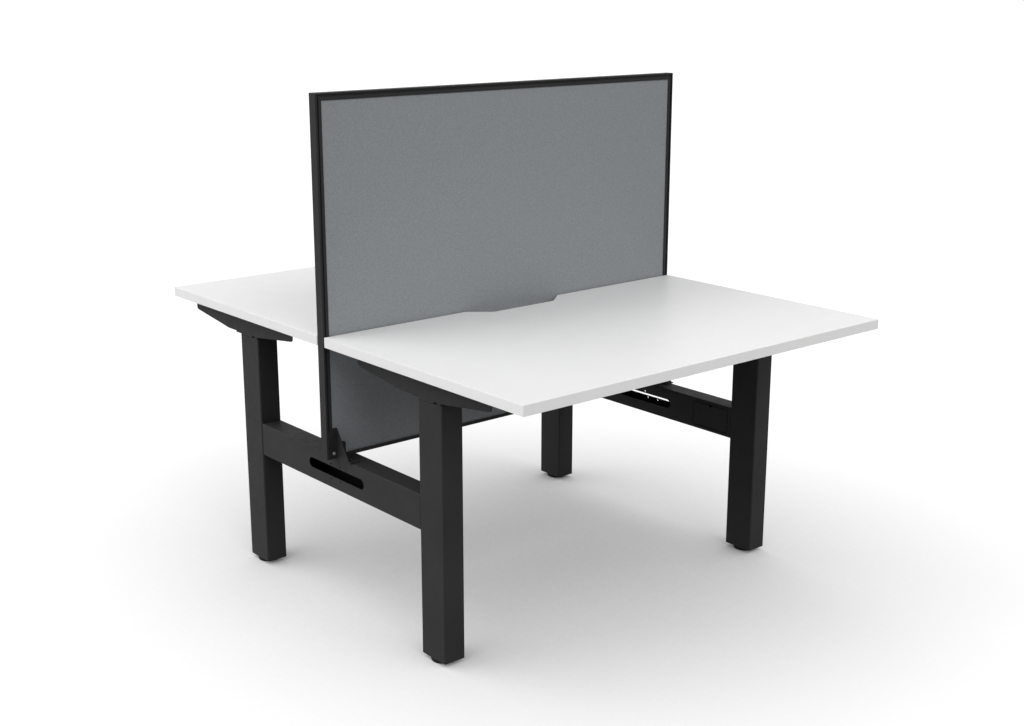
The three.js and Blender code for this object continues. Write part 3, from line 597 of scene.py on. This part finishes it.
def fabric(desk):
    """A stretched cloth panel, drawn over its board and tucked in behind the frame's lip."""
    low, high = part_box(f"screen_{desk}_fabric")
    outward = -1 if desk == "front" else 1
    face = low.y if desk == "front" else high.y
    columns, rows = 120, 90
    setback, thickness = 0.55 * MM, 0.9 * MM
    edge_fall, edge_reach, ripple_depth = 0.5 * MM, 6 * MM, 0.05 * MM
    width, height = high.x - low.x, high.z - low.z
    bm = bmesh.new()
    grid = []
    for row in range(rows + 1):
        line = []
        for column in range(columns + 1):
            x = low.x + width * column / columns
            z = low.z + height * row / rows
            edge = min(x - low.x, high.x - x, z - low.z, high.z - z)
            fall = edge_fall * math.exp(-edge / edge_reach)
            ripple = ripple_depth * (math.sin(x * 23.0 + 1.3 * z) + math.sin(z * 19.0 - 0.7 * x))
            line.append(bm.verts.new((x, face - outward * (fall + setback + ripple), z)))
        grid.append(line)
    for row in range(rows):
        for column in range(columns):
            bm.faces.new([grid[row][column], grid[row][column + 1],
                          grid[row + 1][column + 1], grid[row + 1][column]])
    mesh = bpy.data.meshes.new(f"screen_{desk}_cloth")
    bm.normal_update()
    bm.faces.ensure_lookup_table()
    if (bm.faces[0].normal.y > 0) != (outward > 0):
        bmesh.ops.reverse_faces(bm, faces=bm.faces)
    bm.to_mesh(mesh)
    bm.free()
    piece = link(f"screen_{desk}_cloth", mesh)
    mesh.polygons.foreach_set("use_smooth", [True] * len(mesh.polygons))
    shell = piece.modifiers.new("thickness", "SOLIDIFY")
    shell.thickness = thickness
    shell.offset = -1
    settle(piece, "frame", "fabric")
    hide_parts(f"screen_{desk}_fabric")


for desk in DESKS:
    fabric(desk)


# Fasteners and small trim
SHEET = 2.5 * MM
SEAT = 0.3 * MM


def bar(bm, low, high):
    """Adds a block between two corners."""
    middle = [(first + last) / 2 for first, last in zip(low, high)]
    spans = [last - first for first, last in zip(low, high)]
    bmesh.ops.create_cube(bm, size=1, matrix=Matrix.LocRotScale(middle, None, spans))


def trim_from(bm, name, body, slot, material=None):
    piece = piece_from(bm, name)
    settle(piece, body, slot, material or finishes[slot])


def pan_head(bm, place, axis, radius, height):
    """A round head with a driver recess."""
    profile = [
        (0, 0), (radius, 0), (radius, 0.35 * height), (0.86 * radius, 0.80 * height),
        (0.55 * radius, height), (0.45 * radius, height), (0.36 * radius, 0.45 * height),
        (0, 0.45 * height)]
    lathe(bm, profile, place, axis, 24)


def hex_head(bm, place, axis, radius, height):
    """A six-sided bolt head with a chamfered top, on its washer."""
    washer, washer_radius = 0.22 * height, 1.25 * radius
    ring = [(0, 0), (washer_radius, 0), (washer_radius, washer), (0, washer)]
    head = [
        (0, washer), (radius, washer), (radius, 0.85 * height), (0.86 * radius, height), (0, height)]
    lathe(bm, ring, place, axis, 32)
    lathe(bm, head, place, axis, 6)


def bracket_fasteners(end):
    """The bolts through the bracket's plates and the screws that hold its strip to the beam."""
    low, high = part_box(f"{end}_screen_bracket")
    outward = -1 if end == "left" else 1
    outside = low.x if end == "left" else high.x
    plate_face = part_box(f"screen_{end}_post")[1].y + SEAT + SHEET
    bolt_x, bolt_z = outside - outward * 17 * MM, low.z + 14.5 * MM
    screw_x, screw_reach = outside - outward * 39.5 * MM, high.y - 23 * MM
    bolts, screws = bmesh.new(), bmesh.new()
    for side in (-1, 1):
        bolt_place = (bolt_x, side * plate_face, bolt_z)
        screw_place = (screw_x, side * screw_reach, low.z + SHEET)
        hex_head(bolts, bolt_place, (0, side, 0), radius=4 * MM, height=2.6 * MM)
        pan_head(screws, screw_place, (0, 0, 1), radius=5 * MM, height=2.4 * MM)
    trim_from(bolts, f"{end}_bracket_bolts", "frame", "steel", screw_steel)
    trim_from(screws, f"{end}_bracket_screws", "frame", "bracket_coat", screw_black)


def arm_screws(corner):
    """The screws that hold an arm up against its desktop, in the pads at its two tips."""
    low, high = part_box(f"{corner}_arm")
    pad_middle, pad = 45 * MM, 3 * MM
    bm = bmesh.new()
    for y in (low.y + pad_middle, high.y - pad_middle):
        place = ((low.x + high.x) / 2, y, high.z - pad)
        pan_head(bm, place, (0, 0, -1), radius=6 * MM, height=3 * MM)
    trim_from(bm, f"{corner}_arm_screws", BODY_OF[f"{corner}_arm"], "steel", screw_steel)


def motor_trim(corner):
    """Clamp bands round a motor's barrel, and the screws of its end cap."""
    low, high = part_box(f"{corner}_gear_motor")
    inward = 1 if corner.endswith("left") else -1
    end = high.x if inward > 0 else low.x
    middle_y, middle_z = (low.y + high.y) / 2, (low.z + high.z) / 2
    radius = (high.z - low.z) / 2 - 2 * MM
    band, proud = 5 * MM, 0.7 * MM
    bm = bmesh.new()
    for inset in (14 * MM, 96 * MM):
        start = end - inward * inset
        ring = [(radius, 0), (radius + proud, 0.5 * MM), (radius + proud, band - 0.5 * MM), (radius, band)]
        lathe(bm, ring, (start, middle_y, middle_z), (inward, 0, 0), 40)
    for turn in (90, 210, 330):
        across = 0.66 * radius * math.cos(math.radians(turn))
        up = 0.66 * radius * math.sin(math.radians(turn))
        place = (end, middle_y + across, middle_z + up)
        pan_head(bm, place, (inward, 0, 0), radius=2.6 * MM, height=1.6 * MM)
    trim_from(bm, f"{corner}_motor_trim", BODY_OF[f"{corner}_gear_motor"], "motor_coat")


def control_trim(desk):
    """Cooling ribs and lid screws under a control box."""
    low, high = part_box(f"{desk}_control_box")
    rib, rib_height, ribs, pitch = 2 * MM, 0.9 * MM, 11, 9 * MM
    middle_x = (low.x + high.x) / 2
    margin, screw_inset = 18 * MM, 9 * MM
    bm = bmesh.new()
    for index in range(ribs):
        x = middle_x + (index - (ribs - 1) / 2) * pitch
        foot_corner = (x - rib / 2, low.y + margin, low.z - rib_height)
        bar(bm, foot_corner, (x + rib / 2, high.y - margin, low.z))
    soften(bm, 0.3 * MM, 2)
    for x in (low.x + screw_inset, high.x - screw_inset):
        for y in (low.y + screw_inset, high.y - screw_inset):
            pan_head(bm, (x, y, low.z), (0, 0, -1), radius=3 * MM, height=1.6 * MM)
    trim_from(bm, f"{desk}_control_trim", f"{desk}_desk", "casing")


def paddle_grip(desk):
    """Grip ribs along the tip of a paddle, above and below."""
    low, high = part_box(f"{desk}_handset_paddle")
    side = -1 if desk == "front" else 1
    tip = low.y if side < 0 else high.y
    middle_x, middle_z = (low.x + high.x) / 2, (low.z + high.z) / 2
    half_rib, half_thickness, rib, proud = 17 * MM, 2.5 * MM, 1.1 * MM, 0.6 * MM
    bm = bmesh.new()
    for index in range(3):
        y = tip - side * (2.5 + 2.6 * index) * MM
        for low_z in (middle_z - half_thickness - proud, middle_z + half_thickness):
            bar(bm, (middle_x - half_rib, y - rib / 2, low_z),
                (middle_x + half_rib, y + rib / 2, low_z + proud))
    soften(bm, 0.2 * MM, 2)
    trim_from(bm, f"{desk}_paddle_grip", BODY_OF[f"{desk}_handset_paddle"], "paddle")


for end in ENDS:
    bracket_fasteners(end)
for corner in CORNERS:
    arm_screws(corner)
    motor_trim(corner)
for desk in DESKS:
    control_trim(desk)
    paddle_grip(desk)
